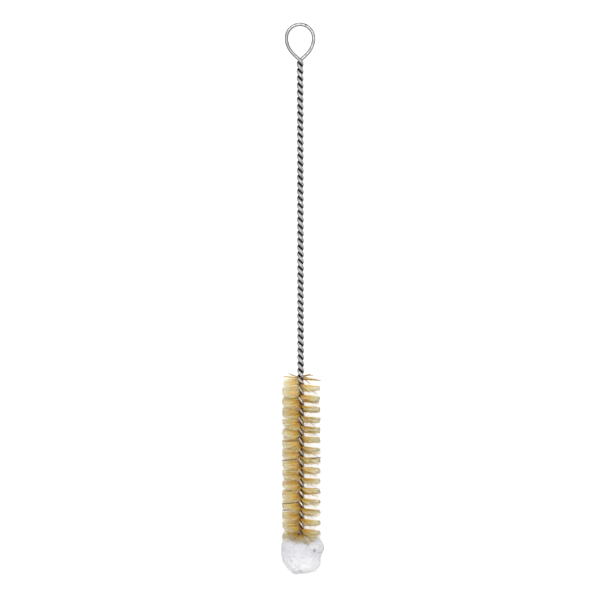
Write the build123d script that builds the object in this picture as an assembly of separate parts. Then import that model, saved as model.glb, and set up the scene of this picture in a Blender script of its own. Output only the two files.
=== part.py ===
from build123d import *
from math import asin, atan2, cos, degrees, hypot, pi, radians, sin, tan
import os

import numpy as np

# A twisted-in-wire test tube brush: one steel wire is folded at its middle into a hanging eye, and its
# two legs are twisted together. The lower half-turns clamp natural bristles, and the last ones a cotton
# tip. The brush is built upright, with its axis on +Z, the tip's underside at z = 0 and the eye in the
# XZ plane. The front is -Y. It is then laid down with the eye towards +Y and the front upwards.

# ---- Driving dimensions, mm and degrees ----
length = 280.0  # from the cotton's end to the top of the eye
wire_d = 1.75

cotton_d = 22.0
cotton_length = 14.4
cotton_widest = 8.5  # height of its widest ring
cotton_foot_d = 10.5  # the flat at its end
cotton_neck_d = 19.5  # its top edge, under the lowest tuft
wire_hold = 5.4  # how far the strands reach into the cotton

tuft_count = 17  # one tuft for each half-turn of the wire
bristle_d = 20.0
tuft_arc = 150.0  # how far the wire turns within one tuft
tuft_spread = 44.0  # half of the angle that a tuft's arm fills, seen along the axis
web = 0.15  # a tuft's thickness where the two strands squeeze it

head_half_turn = 5.22  # the wire's half-turn where it clamps bristles
tight_turns = 0.4  # half-turns under the top tuft's middle that are already as tight as the stem's
stem_half_turn = 3.55  # the wire's mean half-turn between the bristles and the eye
stem_easing = 0.035  # the twist is this share tighter at the head and looser at the eye
stem_gap = 0.04  # between the strands of the bare stem
gap_run = 2.5  # the length over which the wider gap between the strands of the head closes

eye_width = 15.6  # across the outside of the eye
eye_neck = 11.55  # from where the strands cross to the middle of the eye's round end
eye_spread = 46.0  # angle between the axis and each side of the eye at the crossing

clearance = 0.3  # between soft pieces, and round the strands in the cotton
web_clearance = 0.06  # between a tuft and each strand that clamps it

spans_per_half_turn = 2  # of the spline along each strand

# ---- Worked out from these ----
wire_r = wire_d / 2
bristle_r = bristle_d / 2
grip_r = wire_r + web / 2 + web_clearance  # from the axis to a strand's path, in the head
stem_r = wire_r + stem_gap / 2  # the same, in the stem
wire_end = cotton_length - wire_hold
head_start = cotton_length + clearance  # the lowest tuft's middle, where it is cut off by the cotton
head_turns = tuft_count - 1 - tight_turns  # half-turns from there to where the twist grows tighter
head_top = head_start + head_turns * head_half_turn
eye_r = eye_width / 2 - wire_r
eye_centre = length - wire_r - eye_r
crossing = eye_centre - eye_neck
all_turns = round(head_turns + (crossing - head_top) / stem_half_turn)  # whole, so the eye lies flat
stem_turns = all_turns - head_turns
front = 1 if all_turns % 2 == 0 else -1  # the leg that crosses in front at the eye


# ---- The twist ----
def turns(z):
    """Half-turns of the wire between the lowest tuft and height z."""
    if z <= head_top:
        return (z - head_start) / head_half_turn
    s = (z - head_top) / (crossing - head_top)
    return head_turns + stem_turns * (s + stem_easing * s * (1 - s))


table_z = np.linspace(wire_end, crossing, 4000)
table_turns = [turns(z) for z in table_z]


def height(half_turns):
    """The height at which the wire has made this many half-turns."""
    return float(np.interp(half_turns, table_turns, table_z))


def strand(z, leg):
    """The point of a leg's path at height z. leg is 1 or -1."""
    closing = (z - height(tuft_count - 0.5)) / gap_run
    closing = min(max(closing, 0.0), 1.0)
    r = grip_r + (stem_r - grip_r) * closing * closing * (3 - 2 * closing)
    angle = pi * turns(z)
    return Vector(leg * r * sin(-angle), leg * -r * cos(angle), z)


def heading(z, leg):
    """The direction of a leg's path at height z, upwards."""
    step = 0.01
    low, high = max(z - step, wire_end), min(z + step, crossing)
    return (strand(high, leg) - strand(low, leg)).normalized()


# ---- The wire: a leg up, round the eye, and a leg down, as one sweep ----
def leg_edges(leg):
    """A leg's path as one smooth edge for each half-turn, from its end up to the crossing."""
    first = turns(wire_end)
    stops = [first] + list(range(int(np.floor(first)) + 1, all_turns + 1))
    side = front * leg  # 1 where the strand crosses in front and leaves to the left
    up_and_out = Vector(-side * sin(radians(eye_spread)), 0, cos(radians(eye_spread)))
    edges = []
    for low, high in zip(stops[:-1], stops[1:]):
        heights = [height(t) for t in np.linspace(low, high, spans_per_half_turn + 1)]
        heights = [max(heights[0], wire_end)] + heights[1:]
        end = up_and_out if high == all_turns else heading(heights[-1], leg)
        path = [strand(z, leg) for z in heights]
        edges.append(Spline(*path, tangents=[heading(heights[0], leg), end]))
    return edges


def eye_edges():
    """The eye: a straight side, a shallow arc, the round end, and the same again down the right."""
    spread = radians(eye_spread)
    side_r = (eye_neck - eye_r / tan(spread)) / tan(spread / 2)
    straight = (eye_r - side_r * (1 - cos(spread))) / sin(spread)
    outline = [(0.0, 0.0)]
    outline.append((-straight * sin(spread) * 0.5, straight * cos(spread) * 0.5))
    for turn in np.linspace(spread, 0, 4):
        outline.append((side_r - eye_r - side_r * cos(turn), eye_neck - side_r * sin(turn)))
    for turn in np.linspace(pi, pi / 2, 5)[1:]:
        outline.append((eye_r * cos(turn), eye_neck + eye_r * sin(turn)))
    outline += [(-x, z) for x, z in reversed(outline[:-1])]
    steps = [hypot(b[0] - a[0], b[1] - a[1]) for a, b in zip(outline[:-1], outline[1:])]
    along = np.concatenate([[0], np.cumsum(steps)]) / sum(steps)
    path = [Vector(x, -stem_r * (1 - 2 * t), crossing + z) for (x, z), t in zip(outline, along)]
    leaving = Vector(-sin(spread), 0, cos(spread))
    arriving = Vector(-sin(spread), 0, -cos(spread))
    return [Spline(*path, tangents=[leaving, arriving])]


def make_wire():
    """The whole wire, with flat ends."""
    path = Wire(leg_edges(front) + eye_edges() + leg_edges(-front))
    start = Plane(origin=strand(wire_end, front), z_dir=heading(wire_end, front))
    section = start * Circle(wire_r)
    return sweep(section, path=path)


# ---- The bristles: one tuft for each half-turn, squeezed between the strands and fanned both ways ----
def tuft_section():
    """A tuft cut across the axis: two arms along X, joined by the thin web between the strands."""
    spread = radians(tuft_spread)
    x, y = bristle_r * cos(spread), bristle_r * sin(spread)
    near, thin = wire_r + web_clearance, web / 2
    edges = [
        Line((-near, thin), (near, thin)),
        Line((near, thin), (x, y)),
        ThreePointArc((x, y), (bristle_r, 0), (x, -y)),
        Line((x, -y), (near, -thin)),
        Line((near, -thin), (-near, -thin)),
        Line((-near, -thin), (-x, -y)),
        ThreePointArc((-x, -y), (-bristle_r, 0), (-x, y)),
        Line((-x, y), (-near, thin)),
    ]
    return Wire(edges)


def make_tuft(index):
    """The tuft clamped in one half-turn, twisted with the wire. Index 0 is the lowest."""
    first = max(index - tuft_arc / 360, 0)
    last = index + tuft_arc / 360
    low, high = height(first), height(last)
    place = Pos(0, 0, low) * Rot(0, 0, -180 * first)
    section = place * tuft_section()
    axis = (0, 0, high - low)
    return Solid.extrude_linear_with_rotation(section, (0, 0, low), axis, -180 * (last - first))


# ---- The cotton tip: a round tuft with a blind hole for the strands' ends ----
def make_cotton():
    """The tip as a turned solid, widest near its middle."""
    foot, wide, neck = cotton_foot_d / 2, cotton_d / 2, cotton_neck_d / 2
    hole = grip_r + wire_r + clearance
    floor = wire_end - wire_r - clearance
    edges = [
        Line((0, 0, 0), (foot, 0, 0)),
        Spline((foot, 0, 0), (wide, 0, cotton_widest), tangents=[(1, 0, 0.35), (0, 0, 1)]),
        Spline((wide, 0, cotton_widest), (neck, 0, cotton_length), tangents=[(0, 0, 1), (-0.6, 0, 1)]),
        Line((neck, 0, cotton_length), (hole, 0, cotton_length)),
        Line((hole, 0, cotton_length), (hole, 0, floor)),
        Line((hole, 0, floor), (0, 0, floor)),
        Line((0, 0, floor), (0, 0, 0)),
    ]
    return revolve(make_face(edges), Axis.Z)


# ---- Lay it down ----
def resting():
    """Turn the upright brush to lie on its top tuft and the far end of its eye, front upwards."""
    rim = height(tuft_count - 1 + tuft_arc / 360)
    run = length - wire_r - rim
    slope = degrees(atan2(bristle_r, run) - asin(wire_r / hypot(run, bristle_r)))
    return Rot(-90 - slope, 0, 0)


solids = {"wire": make_wire(), "cotton_tip": make_cotton()}
for index in range(tuft_count):
    solids[f"bristle_tuft_{index + 1:02d}"] = make_tuft(index)

laid = {name: resting() * solid for name, solid in solids.items()}
box = Compound(list(laid.values())).bounding_box()
seat = Pos(-box.center().X, -box.center().Y, -box.min.Z)

os.makedirs("parts", exist_ok=True)
for name, solid in laid.items():
    export_step(seat * solid, f"parts/{name}.step")
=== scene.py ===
import math

import bpy
import numpy as np
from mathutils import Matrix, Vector, noise


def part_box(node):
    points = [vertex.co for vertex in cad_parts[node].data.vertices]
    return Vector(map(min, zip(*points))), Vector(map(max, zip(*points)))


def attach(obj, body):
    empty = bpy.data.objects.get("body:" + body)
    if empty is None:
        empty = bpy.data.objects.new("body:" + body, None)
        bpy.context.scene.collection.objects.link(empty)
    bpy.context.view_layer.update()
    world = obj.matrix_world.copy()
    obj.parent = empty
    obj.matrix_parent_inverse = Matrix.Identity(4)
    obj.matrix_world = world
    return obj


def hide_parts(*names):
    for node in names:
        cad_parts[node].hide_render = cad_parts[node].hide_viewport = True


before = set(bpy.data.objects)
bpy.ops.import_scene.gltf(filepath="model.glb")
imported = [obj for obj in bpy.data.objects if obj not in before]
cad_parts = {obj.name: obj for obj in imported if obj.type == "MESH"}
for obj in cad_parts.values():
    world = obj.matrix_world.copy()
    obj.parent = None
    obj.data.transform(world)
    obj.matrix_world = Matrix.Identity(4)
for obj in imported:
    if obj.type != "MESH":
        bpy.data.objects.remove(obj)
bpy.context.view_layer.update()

# A twisted-in-wire test tube brush lying on a white floor, seen from straight above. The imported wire
# node is kept and gets a galvanised finish. Each packed tuft is replaced by its own filaments, and the
# packed tip by a wad of cotton wool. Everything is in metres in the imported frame; MM turns millimetres
# into metres. The brush has its own axes: x across it to the right, "front", the direction that faces
# up and slightly towards the eye, and "along" its axis towards the eye. u is the height along the axis
# from the cotton's end.

MM = 0.001
TUFTS = 17
SEED = 11


# ---- The brush's own axes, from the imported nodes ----
def tuft_node(number):
    return f"bristle_tuft_{number:02d}"


def middle(node):
    low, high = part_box(node)
    return (Vector(low) + Vector(high)) / 2


RIGHT = Vector((1, 0, 0))
ALONG = (middle(tuft_node(TUFTS - 1)) - middle(tuft_node(2))).normalized()
FRONT = RIGHT.cross(ALONG).normalized()
TO_FRAME = np.array([RIGHT, FRONT, ALONG])  # rows: x across, front, along
FOOT = min(ALONG.dot(vertex.co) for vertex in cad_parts["cotton_tip"].data.vertices)
ORIGIN = middle(tuft_node(2)) + ALONG * (FOOT - ALONG.dot(middle(tuft_node(2))))  # on the axis, at u = 0


def height_of(node):
    """u of a tuft's middle, in millimetres."""
    return (ALONG.dot(middle(node)) - FOOT) / MM


HALF_TURN = height_of(tuft_node(3)) - height_of(tuft_node(2))


def tuft_height(number):
    """u where the strands cross in the tuft. The lowest and the top one are cut short in the model."""
    return height_of(tuft_node(2)) + (number - 2) * HALF_TURN


def in_frame(local):
    """Points given in millimetres as (x across, front, u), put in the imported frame."""
    return (np.asarray(local) * MM) @ TO_FRAME + np.array(ORIGIN)


# ---- Materials ----
def new_material(name):
    """A material with its nodes, its links and its shader."""
    material = bpy.data.materials.new(name)
    material.use_nodes = True
    nodes = material.node_tree.nodes
    return material, nodes, material.node_tree.links, nodes["Principled BSDF"]


def ramp(nodes, links, factor, stops):
    """A colour ramp from (position, colour) pairs."""
    node = nodes.new("ShaderNodeValToRGB")
    elements = node.color_ramp.elements
    while len(elements) > 1:
        elements.remove(elements[-1])
    elements[0].position, elements[0].color = stops[0][0], (*stops[0][1], 1)
    for position, color in stops[1:]:
        elements.new(position).color = (*color, 1)
    links.new(factor, node.inputs[0])
    return node.outputs[0]


def plug(links, socket, value):
    """Link a socket, or set a number or colour."""
    if isinstance(value, bpy.types.NodeSocket):
        links.new(value, socket)
    elif isinstance(value, tuple):
        socket.default_value = (*value, 1)
    else:
        socket.default_value = value


def mix_colors(nodes, links, kind, factor, a, b):
    """Blend colour b over colour a. The node's colour sockets are inputs 6 and 7 and output 2."""
    node = nodes.new("ShaderNodeMix")
    node.data_type = "RGBA"
    node.blend_type = kind
    for index, value in ((0, factor), (6, a), (7, b)):
        plug(links, node.inputs[index], value)
    return node.outputs[2]


def math_node(nodes, links, operation, a, b=0.0):
    """A calculation on one or two sockets or numbers."""
    node = nodes.new("ShaderNodeMath")
    node.operation = operation
    plug(links, node.inputs[0], a)
    plug(links, node.inputs[1], b)
    return node.outputs[0]


def map_range(nodes, links, value, start, end, low=0.0, high=1.0):
    """value between start and end becomes low to high, clamped."""
    node = nodes.new("ShaderNodeMapRange")
    node.inputs["From Min"].default_value = start
    node.inputs["From Max"].default_value = end
    node.inputs["To Min"].default_value = low
    node.inputs["To Max"].default_value = high
    links.new(value, node.inputs["Value"])
    return node.outputs[0]


def fade(nodes, links, value, span, low=0.0, high=1.0):
    """The same as map_range, for a length whose span (start, end) is in millimetres."""
    return map_range(nodes, links, value, span[0] * MM, span[1] * MM, low, high)


def noise_node(nodes, links, vector, size, detail=2.0, roughness=0.5):
    """Noise whose blobs are about size millimetres across."""
    node = nodes.new("ShaderNodeTexNoise")
    node.inputs["Scale"].default_value = 1 / (size * MM)
    node.inputs["Detail"].default_value = detail
    node.inputs["Roughness"].default_value = roughness
    links.new(vector, node.inputs["Vector"])
    return node.outputs["Fac"]


def bump_node(nodes, links, shader, height, strength, depth):
    """Bump whose full height is depth millimetres."""
    node = nodes.new("ShaderNodeBump")
    node.inputs["Strength"].default_value = strength
    node.inputs["Distance"].default_value = depth * MM
    links.new(height, node.inputs["Height"])
    links.new(node.outputs[0], shader.inputs["Normal"])


def attribute(nodes, name):
    """A number that tubes() stored on the mesh."""
    node = nodes.new("ShaderNodeAttribute")
    node.attribute_name = name
    return node.outputs["Fac"]


def brush_coordinates(nodes, links):
    """The place on the brush in metres: x across, front and u, and the plain object coordinates."""
    place = nodes.new("ShaderNodeTexCoord").outputs["Object"]
    shift = nodes.new("ShaderNodeVectorMath")
    shift.operation = "SUBTRACT"
    shift.inputs[1].default_value = ORIGIN
    links.new(place, shift.inputs[0])
    parts = []
    for direction in (RIGHT, FRONT, ALONG):
        dot = nodes.new("ShaderNodeVectorMath")
        dot.operation = "DOT_PRODUCT"
        dot.inputs[1].default_value = direction
        links.new(shift.outputs[0], dot.inputs[0])
        parts.append(dot.outputs["Value"])
    return parts, place


SPOT_CORE = 0.35  # share of a spot's size that is at full strength


def spot(nodes, links, place, centre, size):
    """1 at a place on the brush given in millimetres, fading to 0 at size millimetres from it."""
    node = nodes.new("ShaderNodeVectorMath")
    node.operation = "DISTANCE"
    node.inputs[1].default_value = Vector(in_frame([centre])[0])
    links.new(place, node.inputs[0])
    return fade(nodes, links, node.outputs["Value"], (size, SPOT_CORE * size))


# The wire's marks, in millimetres. A pair says where a mark begins to fade in, and where it is full.
STRAND_PATH = 0.895  # from the axis to each strand's middle, in the stem
EYE_MIDDLE = 272.2  # u
EYE_FOOT = (259.5, 261.5)  # u where the eye begins: its darker colour fades in, and the sides' painted shade follows its bend
STEM_GROOVE = (1.56, 1.12)  # distance from the axis, for the painted shade between the strands of the stem
STEM_TOP = (260.2, 258.8)  # u, for the same painted shade, which ends under the eye
HEAD_GROOVE = (1.84, 1.50)  # distance from the axis, for the painted shade between the bristles
HEAD_TOP = (99.5, 97.0)  # u, for the painted shade and the painted warm reflection of the head
HEAD_SHARE = 0.92  # how strong they are
EDGE = (0.80, 0.42)  # distance towards the front or back from the wire's middle, for the painted shade on its sides
EDGE_SHARE = 0.88  # how dark they are
# Painted shade in two small dents near the eye's top
NICKS = [((3.0, 0.4, 278.7), 0.75), ((2.45, 0.4, 277.3), 0.6)]  # place (x, front, u) and size


def galvanised():
    """Dull zinc on twisted wire: speckled grey and streaked, with painted black shade down in the grooves,
    painted shade on its sides and in two dents of the eye, and a painted warm reflection of the bristles in
    the head.
    """
    material, nodes, links, shader = new_material("galvanised_wire")
    (x, front, u), place = brush_coordinates(nodes, links)
    speckle = ramp(nodes, links, noise_node(nodes, links, place, 0.55, 4, 0.75), [
        (0.32, (0.20, 0.20, 0.20)),
        (0.50, (0.42, 0.42, 0.425)),
        (0.68, (0.66, 0.66, 0.67)),
    ])
    patches = ramp(nodes, links, noise_node(nodes, links, place, 4.0, 3), [
        (0.35, (0.78, 0.78, 0.79)),
        (0.65, (1.0, 1.0, 1.0)),
    ])
    zinc = mix_colors(nodes, links, "MULTIPLY", 1.0, speckle, patches)
    flat = nodes.new("ShaderNodeCombineXYZ")
    links.new(x, flat.inputs[0])
    links.new(front, flat.inputs[1])
    radius = nodes.new("ShaderNodeVectorMath")
    radius.operation = "LENGTH"
    links.new(flat.outputs[0], radius.inputs[0])
    # Painted shade: near-black down in the grooves between the stem's strands
    stem_groove = fade(nodes, links, radius.outputs["Value"], STEM_GROOVE)
    below_eye = fade(nodes, links, u, STEM_TOP)
    stem_groove_shade = math_node(nodes, links, "MULTIPLY", stem_groove, below_eye)
    # Painted shade: dark brown round the wire where it lies between the bristles
    head_groove = fade(nodes, links, radius.outputs["Value"], HEAD_GROOVE)
    in_head = fade(nodes, links, u, HEAD_TOP, 0.0, HEAD_SHARE)
    head_groove_shade = math_node(nodes, links, "MULTIPLY", head_groove, in_head)
    painted_shade = math_node(nodes, links, "MAXIMUM", stem_groove_shade, head_groove_shade)
    # The two dents of the eye get the same painted shade
    for centre, size in NICKS:
        painted_shade = math_node(nodes, links, "MAXIMUM", painted_shade, spot(nodes, links, place, centre, size))
    in_eye = fade(nodes, links, u, EYE_FOOT)
    # Round the eye, the wire's middle passes from the front strand's place to the back strand's
    above_middle = math_node(nodes, links, "SUBTRACT", u, EYE_MIDDLE * MM)
    round_eye = math_node(nodes, links, "ARCTAN2", x, above_middle)
    lean = math_node(nodes, links, "MULTIPLY", round_eye, in_eye)
    wire_front = math_node(nodes, links, "MULTIPLY", lean, -STRAND_PATH * MM / math.pi)
    depth = math_node(nodes, links, "ABSOLUTE", math_node(nodes, links, "SUBTRACT", front, wire_front))
    # Painted shade on the wire's sides, darker away from its middle towards front and back
    edge = fade(nodes, links, depth, EDGE, 0.0, EDGE_SHARE)
    side_shaded = mix_colors(nodes, links, "MIX", edge, zinc, (0.085, 0.09, 0.09))
    # The eye's colour is made a little darker
    eye_darkened = mix_colors(nodes, links, "MULTIPLY", in_eye, side_shaded, (0.92, 0.92, 0.92))
    # Painted warm reflection of the golden bristles on the wire in the head
    bristle_reflection_tinted = mix_colors(nodes, links, "MULTIPLY", in_head, eye_darkened, (1.0, 0.90, 0.74))
    # The painted shade's colour: near-black in the stem, dark brown in the head
    painted_shade_color = mix_colors(nodes, links, "MIX", in_head, (0.012, 0.011, 0.010), (0.045, 0.022, 0.007))
    color = mix_colors(nodes, links, "MIX", painted_shade, bristle_reflection_tinted, painted_shade_color)
    links.new(color, shader.inputs["Base Color"])
    shader.inputs["Metallic"].default_value = 0.85
    shader.inputs["Specular Tint"].default_value = (0.5, 0.5, 0.5, 1)
    roughness = map_range(nodes, links, noise_node(nodes, links, place, 1.4, 3), 0.3, 0.7, 0.26, 0.46)
    links.new(roughness, shader.inputs["Roughness"])
    bump_node(nodes, links, shader, noise_node(nodes, links, place, 0.45, 4, 0.6), 0.35, 0.05)
    return material


def bristle():
    """Hog bristle: near-black painted shade at the very root, then orange-brown, golden, then cream, and
    greyer and darker at the very end.
    """
    material, nodes, links, shader = new_material("hog_bristle")
    # The ramp's first stop is near-black painted shade where the filaments leave the wire
    golden = ramp(nodes, links, attribute(nodes, "reach"), [
        (0.0, (0.08, 0.035, 0.010)),
        (0.08, (0.30, 0.15, 0.025)),
        (0.22, (0.70, 0.40, 0.045)),
        (0.45, (0.94, 0.71, 0.16)),
        (0.75, (0.98, 0.89, 0.52)),
        (0.93, (0.99, 0.97, 0.86)),
        (1.0, (0.62, 0.61, 0.52)),
    ])
    place = nodes.new("ShaderNodeTexCoord").outputs["Object"]
    tint = ramp(nodes, links, noise_node(nodes, links, place, 3.5, 2), [
        (0.38, (1.0, 0.88, 0.72)),
        (0.50, (1.0, 1.0, 1.0)),
        (0.62, (0.96, 0.99, 0.80)),
    ])
    golden = mix_colors(nodes, links, "MULTIPLY", 1.0, golden, tint)
    tones = ramp(nodes, links, attribute(nodes, "tone"), [
        (0.0, (0.10, 0.055, 0.03)),
        (0.01, (0.14, 0.08, 0.04)),
        (0.02, (0.45, 0.33, 0.22)),
        (0.25, (0.66, 0.54, 0.38)),
        (0.55, (0.97, 0.94, 0.88)),
        (0.85, (1.0, 1.0, 1.0)),
        (1.0, (1.0, 1.0, 1.0)),
    ])
    pale = map_range(nodes, links, attribute(nodes, "tone"), 0.55, 1.0, 0.0, 0.70)
    golden = mix_colors(nodes, links, "MIX", pale, golden, (0.93, 0.86, 0.64))
    color = mix_colors(nodes, links, "MULTIPLY", 1.0, golden, tones)
    links.new(color, shader.inputs["Base Color"])
    shader.inputs["Roughness"].default_value = 0.38
    shader.inputs["Specular IOR Level"].default_value = 0.45
    return material


COTTON_SHADE = (3.5, 11.0)  # u between which the wad grows darker towards the bristles
COTTON_MARKS = [  # small shaded hollows: place (x, front, u), size in millimetres, grey
    ((6.6, 7.6, 11.6), 1.3, 0.34),
    ((-6.0, 7.6, 8.6), 0.9, 0.62),
    ((-4.8, 8.0, 6.4), 1.0, 0.66),
    ((-3.8, 8.9, 10.4), 0.9, 0.66),
    ((5.0, 8.3, 8.4), 1.1, 0.68),
]


def cotton_wool():
    """Cotton wool: nearly white, faintly lavender, with painted shade towards the bristles, in thin crease
    lines and in small hollows, fine fibre bump and soft light inside it.
    """
    material, nodes, links, shader = new_material("cotton_wool")
    place = nodes.new("ShaderNodeTexCoord").outputs["Object"]
    shade = ramp(nodes, links, noise_node(nodes, links, place, 2.6, 4, 0.6), [
        (0.32, (0.86, 0.86, 0.89)),
        (0.50, (0.925, 0.925, 0.945)),
        (0.70, (0.95, 0.95, 0.96)),
    ])
    u = brush_coordinates(nodes, links)[0][2]
    shaded = fade(nodes, links, u, COTTON_SHADE)
    shade = mix_colors(nodes, links, "MULTIPLY", shaded, shade, (0.79, 0.785, 0.80))
    # Painted shade in thin crease lines
    crease_shade_line = ramp(nodes, links, noise_node(nodes, links, place, 5.0, 3, 0.6), [
        (0.470, (1.0, 1.0, 1.0)),
        (0.482, (0.74, 0.74, 0.80)),
        (0.494, (1.0, 1.0, 1.0)),
    ])
    shade = mix_colors(nodes, links, "MULTIPLY", 0.8, shade, crease_shade_line)
    for centre, size, grey in COTTON_MARKS:
        mark = spot(nodes, links, place, centre, size)
        shade = mix_colors(nodes, links, "MIX", mark, shade, (grey, grey, 1.06 * grey))
    links.new(shade, shader.inputs["Base Color"])
    shader.inputs["Roughness"].default_value = 0.9
    shader.inputs["Specular IOR Level"].default_value = 0.1
    shader.inputs["Subsurface Weight"].default_value = 0.6
    shader.inputs["Subsurface Radius"].default_value = (1.0, 1.0, 1.0)
    shader.inputs["Subsurface Scale"].default_value = 2.5 * MM
    bump_node(nodes, links, shader, noise_node(nodes, links, place, 0.6, 5, 0.7), 0.5, 0.15)
    return material


def cotton_fibre():
    """The single fibres that stand off the wad."""
    material, nodes, links, shader = new_material("cotton_fibre")
    shade = ramp(nodes, links, attribute(nodes, "tone"), [
        (0.0, (0.82, 0.82, 0.86)),
        (1.0, (0.93, 0.93, 0.94)),
    ])
    links.new(shade, shader.inputs["Base Color"])
    shader.inputs["Roughness"].default_value = 0.8
    shader.inputs["Specular IOR Level"].default_value = 0.2
    return material


def add_piece(mesh, material):
    """The mesh as a piece of the same name that belongs to the brush."""
    mesh.shade_smooth()
    mesh.materials.append(material)
    piece = bpy.data.objects.new(mesh.name, mesh)
    bpy.context.scene.collection.objects.link(piece)
    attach(piece, "root")
    return piece


# ---- Filaments: many thin closed tubes in one mesh ----
def bezier(points, steps):
    """Cubic curves, points (count, 4, 3), sampled at steps + 1 places: places and directions."""
    t = np.linspace(0, 1, steps + 1)[None, :, None]
    a, b, c, d = (points[:, i, None, :] for i in range(4))
    places = a * (1 - t) ** 3 + 3 * b * t * (1 - t) ** 2 + 3 * c * t * t * (1 - t) + d * t ** 3
    slopes = 3 * (b - a) * (1 - t) ** 2 + 6 * (c - b) * t * (1 - t) + 3 * (d - c) * t * t
    return places, slopes / np.linalg.norm(slopes, axis=2, keepdims=True)


def tubes(name, curves, radii, tone, material, steps, sides, end_share):
    """One mesh of closed tubes along cubic curves given in millimetres on the brush. Each narrows
    evenly to end_share of its radius."""
    places, directions = bezier(in_frame(curves.reshape(-1, 3)).reshape(curves.shape), steps)
    count = len(curves)
    helper = np.where(np.abs(directions[:, :1, 2:]) < 0.8, [[[0.0, 0.0, 1.0]]], [[[1.0, 0.0, 0.0]]])
    side = np.cross(directions, helper)
    side /= np.linalg.norm(side, axis=2, keepdims=True)
    other = np.cross(directions, side)
    thick = (radii * MM)[:, None] * np.linspace(1, end_share, steps + 1)[None, :]
    turns = np.arange(sides) * 2 * math.pi / sides
    rings = (
        places[:, :, None]
        + (thick[:, :, None] * np.cos(turns))[..., None] * side[:, :, None]
        + (thick[:, :, None] * np.sin(turns))[..., None] * other[:, :, None]
    )
    per = (steps + 1) * sides
    starts = (np.arange(count) * per)[:, None, None]
    ring = np.arange(sides)
    walls = np.stack([ring, (ring + 1) % sides, (ring + 1) % sides + sides, ring + sides], 1)
    walls = np.concatenate([walls + step * sides for step in range(steps)])
    ends = np.stack([ring[::-1], ring + steps * sides])
    faces = (walls[None] + starts).reshape(-1, 4).tolist()
    faces += (ends[None] + starts).reshape(-1, sides).tolist()
    mesh = bpy.data.meshes.new(name)
    mesh.from_pydata(rings.reshape(-1, 3).tolist(), [], faces)
    reach = np.tile(np.repeat(np.linspace(0, 1, steps + 1), sides), count)
    for label, values in (("reach", reach), ("tone", np.repeat(tone, per))):
        stored = mesh.attributes.new(label, "FLOAT", "POINT")
        stored.data.foreach_set("value", values.astype(np.float32))
    return add_piece(mesh, material)


# ---- The tufts ----
# Each tuft's filaments leave the pinch between the strands over one half-turn. phase runs from -0.5 to
# 0.5 over it, and turns them from the back through the side to the front on the right, and the other
# way on the left. Flat ones are combed out to the side, and wide ones keep the wire's turn.
FLAT_SHARE = 0.54
FLAT_TURN = {1: 0.20, -1: 0.16}  # share of the wire's turn that the flat ones keep, right and left
WIDE_TURN = 0.80  # the same for wide ones that come to the front
BACK_TURN = 0.98  # and for those that go to the back
REACH = {1: 10.25, -1: 9.8}
ROOTS = {1: (0.16, 0.62), -1: (-0.08, 0.98)}  # middle and spread of the roots, in half-turns
TIPS = {1: (0.42, 2.3), -1: (-0.75, 5.1)}  # the same for the tips, in millimetres
PER_SIDE = 190
PER_CLUMP = 6
START, NEAR = 0.15, 2.3  # millimetres from the axis to the first two points of a filament's curve
# How much the filaments vary: each clump as a whole, and each filament in it
TURN_CLUMP, TURN_OWN = 0.07, 0.06  # radians
TIP_CLUMP, TIP_OWN = 0.20, 0.30  # millimetres along the axis
SHORT_CLUMP, SHORT_OWN = 0.38, 0.22  # millimetres off the length
BEND_CLUMP, BEND_OWN = 0.28, 0.36  # millimetres
TONE_CLUMP, TONE_OWN = 0.40, 0.60
PHASE_OWN = 0.05
LEAN = (1.3, 2.6)  # millimetres by which a clump that comes to the front leans down
CUT_SHARE, CUT = 0.07, (0.5, 3.5)  # share of the filaments that are broken off, by how many millimetres
RAGGED_FROM, RAGGED = 0.35, (0.6, 3.6)  # phase at which the left's edges get shorter, and by how much


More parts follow.
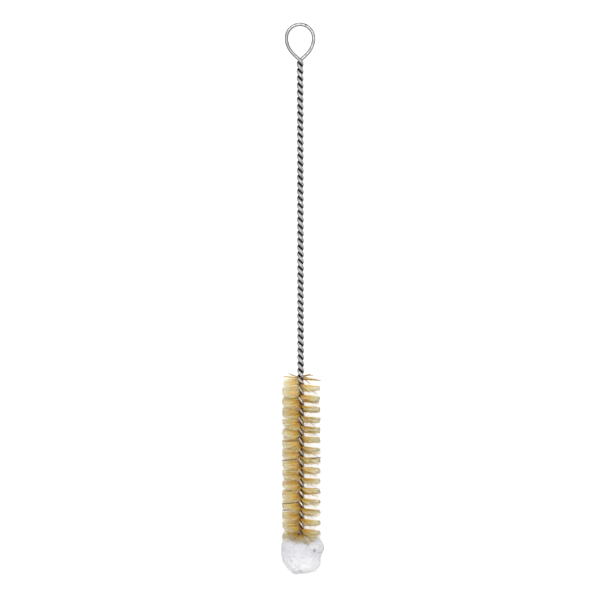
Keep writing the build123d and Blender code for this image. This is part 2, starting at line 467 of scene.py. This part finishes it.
def half_filaments(random, side, count, height, mess=1.0):
    """Curves and tones of one side of a tuft, in millimetres on the brush. side is 1 or -1."""
    clumps = max(count // PER_CLUMP, 1)
    member = random.integers(0, clumps, count)

    def shared(spread):
        return random.normal(0, spread, clumps)[member]

    clump_phase = (np.arange(clumps) + random.random(clumps)) / clumps - 0.5
    phase = np.clip(clump_phase[member] + random.normal(0, PHASE_OWN, count), -0.5, 0.5)
    flat = random.random(clumps)[member] < FLAT_SHARE
    if side > 0:  # most of the flat ones on the right come out of the front groove
        phase = np.where(flat, 0.5 - (0.5 - phase) ** 1.7, phase)
    wide = np.where(phase * side > 0, WIDE_TURN, BACK_TURN)
    turn = math.pi * phase * np.where(flat, FLAT_TURN[side], wide)
    turn = turn + shared(TURN_CLUMP) * mess + random.normal(0, TURN_OWN, count) * mess
    angle = turn if side > 0 else math.pi + turn
    front = np.clip(np.sin(angle), 0, 1)
    root_u = (ROOTS[side][0] + ROOTS[side][1] * phase) * HALF_TURN
    lean = front ** 1.5 * random.uniform(*LEAN, clumps)[member]
    tip_u = TIPS[side][0] + TIPS[side][1] * phase - lean
    tip_u = tip_u + shared(TIP_CLUMP) * mess + random.normal(0, TIP_OWN, count) * mess
    length = REACH[side] - np.abs(random.normal(0, SHORT_OWN, count)) * mess
    length -= np.abs(shared(SHORT_CLUMP)) * mess
    length -= np.where(random.random(count) < CUT_SHARE, random.uniform(*CUT, count), 0)
    if side < 0:  # the left side is ragged where two tufts meet
        near_edge = np.clip(np.abs(phase) - RAGGED_FROM, 0, 1) / (0.5 - RAGGED_FROM)
        length -= near_edge * random.uniform(*RAGGED, count)
    root_angle = 0.5 * angle + 0.5 * (math.pi * phase + (math.pi if side < 0 else 0))
    bend = random.normal(0, BEND_OWN, (count, 3)) * mess
    bend += random.normal(0, BEND_CLUMP, (clumps, 3))[member] * mess

    def at(distance, direction, u):
        return np.stack([distance * np.cos(direction), distance * np.sin(direction), height + u], 1)

    arch = np.clip(np.sin(root_angle), 0, 1)  # how much it comes over the wire's front
    start = at(START, root_angle, root_u + 0.9 * arch)
    near = at(NEAR - 0.3 * arch, root_angle + 0.25 * side * arch, root_u - 0.25 * lean - 0.2 * arch)
    late = at(0.66 * length, angle, root_u * 0.12 + tip_u * 0.88) + bend
    tip = at(length, angle, tip_u)
    tone = TONE_CLUMP * random.random(clumps)[member] + TONE_OWN * random.random(count)
    return np.stack([start, near, late, tip], 1), np.clip(tone, 0.03, 1)


FAN_REACH = 9.6  # millimetres across
FAN_DEPTH = 9.2  # and to the front
FAN_EDGE = np.array([  # the fan's lower edge: x and u
    (-9.6, 19.0),
    (-8.5, 18.5),
    (-4.5, 17.0),
    (0.0, 15.2),
    (4.3, 13.9),
    (6.0, 15.4),
    (8.4, 16.8),
    (9.6, 18.0),
])
FAN_THIN_FROM, FAN_THIN_SHARE = 3.4, 0.45  # x from which the fan is thin, and how much of it is left


def fan_filaments(random, count, height):
    """The lowest filaments, which fan out over the front of the cotton."""
    azimuth = np.arccos(np.clip(random.uniform(-1, 1, count) * 1.04, -1, 1))
    x = FAN_REACH * np.cos(azimuth)
    tip_u = np.interp(x, *FAN_EDGE.T) + np.abs(random.normal(0, 0.9, count))
    root_u = height + random.uniform(2.6, 5.6, count)
    out = np.sin(azimuth)
    start = np.stack([START * np.cos(azimuth), START * out, root_u], 1)
    near = np.stack([2.4 * np.cos(azimuth), 2.4 * out, root_u - 0.3], 1)
    tip = np.stack([x, FAN_DEPTH * out, tip_u], 1)
    late = near * 0.42 + tip * 0.58 + random.normal(0, 0.3, (count, 3))
    kept = (x < FAN_THIN_FROM) | (random.random(count) < FAN_THIN_SHARE)
    tone = 0.03 + 0.72 * random.random(count)
    return np.stack([start, near, late, tip], 1)[kept], tone[kept]


def shade_filaments(random, count):
    """Short near-black filaments over the wire's last turn, put there as painted shade for the dark hollows
    round the wire's end.
    """
    x = random.uniform(-1.4, 2.0, count)
    tip = np.stack([x, random.uniform(2.2, 3.4, count), 19.6 - 1.1 * x + random.normal(0, 0.5, count)], 1)
    start = tip * [0.3, 0.2, 1.0] + [0, 0, 1.2]
    curves = np.stack([start, start * 0.6 + tip * 0.4, start * 0.3 + tip * 0.7, tip], 1)
    return curves, np.zeros(count)


def single(tip, root, sag=0.0):
    """One filament from near the axis at height root to a tip at (x, front, u)."""
    tip = np.array(tip)
    side = math.copysign(1.0, tip[0])
    start = np.array([START * side, 0.1, root])
    near = np.array([NEAR * side, 0.3 + 0.25 * tip[1], root])
    late = start * 0.35 + tip * 0.65 + np.array([0, 0, sag])
    return np.stack([start, near, late, tip])


# Filaments that stand out one by one, drawn in pairs: tip (x, front, u), root height, sag, tone
STRAYS = [
    ((-9.9, 4.5, 57.2), 57.6, 0.0, 0.0),
    ((-9.7, 3.0, 35.2), 36.0, -0.2, 0.012),
    ((-9.6, 3.4, 31.9), 32.4, 0.1, 0.012),
    ((10.2, 4.0, 58.6), 57.8, 0.2, 0.003),
    ((10.2, 2.6, 97.5), 98.3, 0.3, 0.016),
    ((10.0, 2.9, 97.8), 98.4, 0.3, 0.10),
    ((4.8, 6.0, 95.7), 98.8, 0.3, 0.017),
    ((-6.2, 3.0, 101.3), 99.4, 0.0, 0.017),
    ((-5.8, 4.0, 101.0), 99.2, 0.2, 0.05),
    ((-9.6, 3.0, 100.0), 99.0, 0.1, 0.75),
    ((-9.3, 4.0, 99.3), 98.8, 0.3, 0.55),
    ((-8.6, 5.0, 99.8), 98.9, -0.2, 0.30),
    ((6.4, 3.0, 100.1), 99.8, 0.8, 0.018),
    ((5.2, 4.0, 100.6), 99.9, 0.6, 0.05),
    ((3.8, 5.0, 98.6), 100.2, 0.0, 0.05),
]


FAN_COUNT, FAN_RIGHT_COUNT, SHADE_FILAMENT_COUNT = 270, 30, 26
TOP_COUNT = {1: 9, -1: 78}  # the top tuft is thinner, lower and more tangled
TOP_DROP, TOP_MESS = 0.9, 2.2
BRIGHTER = 0.25  # added to the tone of the two top tufts
RADII = (0.085, 0.14)  # millimetres
LOOSE_RADIUS = 0.16
STRAY_RADIUS = 0.17
STRAY_SHIFT = 0.11  # half of the distance between the two filaments of a stray pair


def whole_tuft(random, number, height):
    """Groups of curves and tones that make up a tuft."""
    if number == 1:
        return [
            fan_filaments(random, FAN_COUNT, height),
            half_filaments(random, 1, FAN_RIGHT_COUNT, height + 1.2),
            shade_filaments(random, SHADE_FILAMENT_COUNT),
        ]
    if number == TUFTS:
        return [half_filaments(random, s, TOP_COUNT[s], height - TOP_DROP, TOP_MESS) for s in (1, -1)]
    return [half_filaments(random, s, PER_SIDE, height) for s in (1, -1)]


def loose_filaments(random, height):
    """A few that hang out of the right side, with their tones."""
    count = random.integers(3, 7)
    x = random.uniform(3.6, 9.6, count)
    front = random.uniform(1.0, 4.0, count)
    below = random.uniform(-2.7, -1.3, count)
    tips = zip(x, front, height + below)
    return [single(tip, height + 1.4) for tip in tips], random.uniform(0.05, 0.5, count)


def make_tuft(number, material):
    """One packed tuft's filaments, as a piece that takes its place."""
    random = np.random.default_rng(SEED * 100 + number)
    height = tuft_height(number)
    curves, tone = (np.concatenate(group) for group in zip(*whole_tuft(random, number, height)))
    if number >= TUFTS - 1:
        tone = np.clip(tone + BRIGHTER, 0, 1)
    radii = random.uniform(*RADII, len(curves))
    if 1 < number < TUFTS:
        loose, loose_tone = loose_filaments(random, height)
        curves = np.concatenate([curves, loose])
        tone = np.concatenate([tone, loose_tone])
        radii = np.concatenate([radii, np.full(len(loose), LOOSE_RADIUS)])
    nearest = [s for s in STRAYS if round((s[1] - tuft_height(1)) / HALF_TURN) + 1 == number]
    if nearest:
        for shift in (-STRAY_SHIFT, STRAY_SHIFT):
            pair = [single(tip, root, sag) + [0, 0, shift] for tip, root, sag, _ in nearest]
            curves = np.concatenate([curves, pair])
            tone = np.concatenate([tone, [s[3] for s in nearest]])
            radii = np.concatenate([radii, np.full(len(nearest), STRAY_RADIUS)])
    piece = tubes(f"bristles_{number:02d}", curves, radii, tone, material, steps=7, sides=5, end_share=0.6)
    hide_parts(tuft_node(number))


# ---- The cotton tip ----
# Its outline as seen from the front: u, the left edge, the right edge and half its depth
OUTLINE = [
    (0.0, -3.4, -1.0, 1.2),
    (0.5, -4.2, 1.8, 3.8),
    (1.3, -5.2, 7.6, 5.6),
    (2.8, -6.7, 9.0, 7.0),
    (4.6, -8.3, 9.8, 8.3),
    (6.9, -9.5, 10.2, 9.2),
    (9.2, -9.9, 10.3, 9.6),
    (9.9, -10.0, 10.9, 9.6),
    (12.2, -9.8, 11.5, 9.4),
    (14.4, -9.4, 11.0, 8.8),
    (16.4, -9.2, 10.2, 6.8),
    (17.6, -8.6, 9.3, 4.6),
    (18.3, -7.0, 7.0, 2.4),
    (18.5, -3.0, 3.0, 0.9),
]
COTTON_RINGS = 100
COTTON_SEGMENTS = 190
SQUARENESS = 0.86  # under 1 makes a cross-section squarer than an ellipse
FIBRES = 2600


def wool_offset(place):
    """How far the wool stands proud of its plain shape at a place in millimetres."""
    p = Vector(place)
    lumps = 0.75 * noise.noise(p / 6.0) + 0.40 * noise.noise(p / 2.4 + Vector((7, 1, 3)))
    fold = abs(noise.noise(p / 4.2 + Vector((2, 9, 4))))
    crease = -0.75 * max(0.0, 1 - fold / 0.06)
    return lumps + crease + 0.16 * noise.noise(p / 0.8)


def wool_surface():
    """Rings of points round the wad, from its end to its top, in millimetres on the brush."""
    table = np.array(OUTLINE)
    steps = np.concatenate([[0], np.cumsum(np.linalg.norm(np.diff(table[:, [0, 2]], axis=0), axis=1))])
    at = np.linspace(0, steps[-1], COTTON_RINGS)
    u, left, right, depth = (np.interp(at, steps, table[:, k]) for k in range(4))
    around = np.arange(COTTON_SEGMENTS) * 2 * math.pi / COTTON_SEGMENTS
    across, out = np.cos(around), np.sin(around)
    across = np.sign(across) * np.abs(across) ** SQUARENESS
    out = np.sign(out) * np.abs(out) ** SQUARENESS
    centre, half = (left + right) / 2, (right - left) / 2
    x = centre[:, None] + half[:, None] * across[None]
    y = depth[:, None] * out[None]
    return np.stack([x, y, np.repeat(u[:, None], COTTON_SEGMENTS, 1)], 2)


def outward(rings):
    """Unit directions out of a closed surface made of rings."""
    round_it = np.roll(rings, -1, 1) - np.roll(rings, 1, 1)
    up = np.gradient(rings, axis=0)
    out = np.cross(round_it, up)
    return out / np.maximum(np.linalg.norm(out, axis=2, keepdims=True), 1e-9)


def make_cotton(wool, fibre):
    """The wad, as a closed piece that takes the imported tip's place, and the fibres on it."""
    plain = wool_surface()
    out = outward(plain)
    offsets = np.array([[wool_offset(p) for p in ring] for ring in plain])
    rings = plain + out * offsets[:, :, None]
    rings[0] = rings[0].mean(0) * 0.4 + rings[0] * 0.6
    bottom, top = rings[0].mean(0), rings[-1].mean(0)
    points = np.concatenate([rings.reshape(-1, 3), [bottom, top]])
    n, last = COTTON_SEGMENTS, COTTON_RINGS - 1
    faces = []
    for k in range(n):
        following = (k + 1) % n
        for low in range(0, last * n, n):
            high = low + n
            faces.append((low + k, low + following, high + following, high + k))
        faces.append((len(points) - 2, following, k))
        faces.append((len(points) - 1, last * n + k, last * n + following))
    mesh = bpy.data.meshes.new("cotton_wool_tip")
    mesh.from_pydata(in_frame(points).tolist(), [], faces)
    piece = add_piece(mesh, wool)
    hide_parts("cotton_tip")
    make_fibres(rings, out, fibre)


def make_fibres(rings, out, material):
    """Fine curling fibres that stand off the wad's surface."""
    random = np.random.default_rng(SEED)
    places, normals = rings.reshape(-1, 3), out.reshape(-1, 3)
    picked = random.integers(0, len(places), FIBRES)
    start, normal = places[picked] - 0.1 * normals[picked], normals[picked]
    wander = np.cross(normal, random.normal(0, 1, (FIBRES, 3)))
    wander /= np.linalg.norm(wander, axis=1, keepdims=True)
    length = random.uniform(0.8, 3.2, FIBRES)[:, None]
    lift = random.uniform(0.05, 0.45, FIBRES)[:, None]
    near = start + length * (0.35 * wander + lift * 0.7 * normal)
    late = start + length * (0.7 * wander + lift * normal) + random.normal(0, 0.25, (FIBRES, 3))
    tip = start + length * (wander + lift * 0.6 * normal) + random.normal(0, 0.35, (FIBRES, 3))
    curves = np.stack([start, near, late, tip], 1)
    radii = random.uniform(0.020, 0.035, FIBRES)
    tone = random.random(FIBRES)
    piece = tubes("cotton_fibres", curves, radii, tone, material, steps=5, sides=3, end_share=0.5)


# ---- Studio ----
LAMPS = [  # name, place and size in metres, power in watts
    ("overhead", (0.12, -0.10, 3.0), 1.0, 32.0),
    ("far_fill", (-0.35, 1.5, 2.2), 0.9, 15.0),
]
FLOOR_SIZE = 6  # metres
FLOOR_GREY = 0.9
FLOOR_GLOW = 0.42  # added where the floor is seen, so that it is white but keeps a shadow
WORLD_LIGHT = 0.61  # what the white world lights with; seen, it is plain white

VIEW_WIDTH = 304.6  # millimetres
VIEW_PLANE = 8.0  # millimetres above the floor, where that width is measured
VIEW_MIDDLE = (-0.27, -1.26)  # millimetres
VIEW_TURN = -0.11  # degrees
LENS, SENSOR = 300, 36  # millimetres; a long lens, for a view without visible perspective


def area_light(name, place, size, power):
    """A round lamp that faces the middle of the brush."""
    data = bpy.data.lights.new(name, "AREA")
    data.shape = "DISK"
    data.size = size
    data.energy = power
    light = bpy.data.objects.new(name, data)
    light.location = place
    light.rotation_euler = (-Vector(place)).to_track_quat("-Z", "Y").to_euler()
    bpy.context.scene.collection.objects.link(light)


def seen_ray(nodes, links):
    """1 for rays from the camera or by way of gloss or glass, else 0."""
    path = nodes.new("ShaderNodeLightPath")
    either = math_node(nodes, links, "MAXIMUM", path.outputs["Is Camera Ray"], path.outputs["Is Glossy Ray"])
    return math_node(nodes, links, "MAXIMUM", either, path.outputs["Is Transmission Ray"])


def make_studio():
    """A white floor and world, and two soft lamps."""
    bpy.ops.mesh.primitive_plane_add(size=FLOOR_SIZE)
    floor = bpy.context.object
    floor.name = "floor"
    material, nodes, links, shader = new_material("white_floor")
    shader.inputs["Base Color"].default_value = (FLOOR_GREY, FLOOR_GREY, FLOOR_GREY, 1)
    shader.inputs["Roughness"].default_value = 1.0
    shader.inputs["Specular IOR Level"].default_value = 0.0
    shader.inputs["Emission Color"].default_value = (1, 1, 1, 1)
    glow = math_node(nodes, links, "MULTIPLY", seen_ray(nodes, links), FLOOR_GLOW)
    links.new(glow, shader.inputs["Emission Strength"])
    floor.data.materials.append(material)
    world = bpy.data.worlds.new("studio")
    world.use_nodes = True
    nodes, links = world.node_tree.nodes, world.node_tree.links
    background = nodes["Background"]
    background.inputs["Color"].default_value = (1, 1, 1, 1)
    strength = map_range(nodes, links, seen_ray(nodes, links), 0, 1, WORLD_LIGHT, 1.0)
    links.new(strength, background.inputs["Strength"])
    bpy.context.scene.world = world
    for lamp in LAMPS:
        area_light(*lamp)


def make_camera():
    """Looks straight down, with the view turned by a hair."""
    data = bpy.data.cameras.new("camera")
    data.lens = LENS
    data.sensor_width = SENSOR
    data.clip_end = 20
    distance = VIEW_WIDTH * LENS / SENSOR
    camera = bpy.data.objects.new("camera", data)
    camera.location = Vector((*VIEW_MIDDLE, distance + VIEW_PLANE)) * MM
    camera.rotation_euler = (0, 0, math.radians(VIEW_TURN))
    bpy.context.scene.collection.objects.link(camera)
    bpy.context.scene.camera = camera


def main():
    """The brush and its studio."""
    zinc = galvanised()
    for material_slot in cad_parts["wire"].material_slots:
        material_slot.material = zinc
    hog = bristle()
    for number in range(1, TUFTS + 1):
        make_tuft(number, hog)
    make_cotton(cotton_wool(), cotton_fibre())
    make_studio()
    make_camera()
    bpy.context.scene.view_settings.view_transform = "Standard"


main()
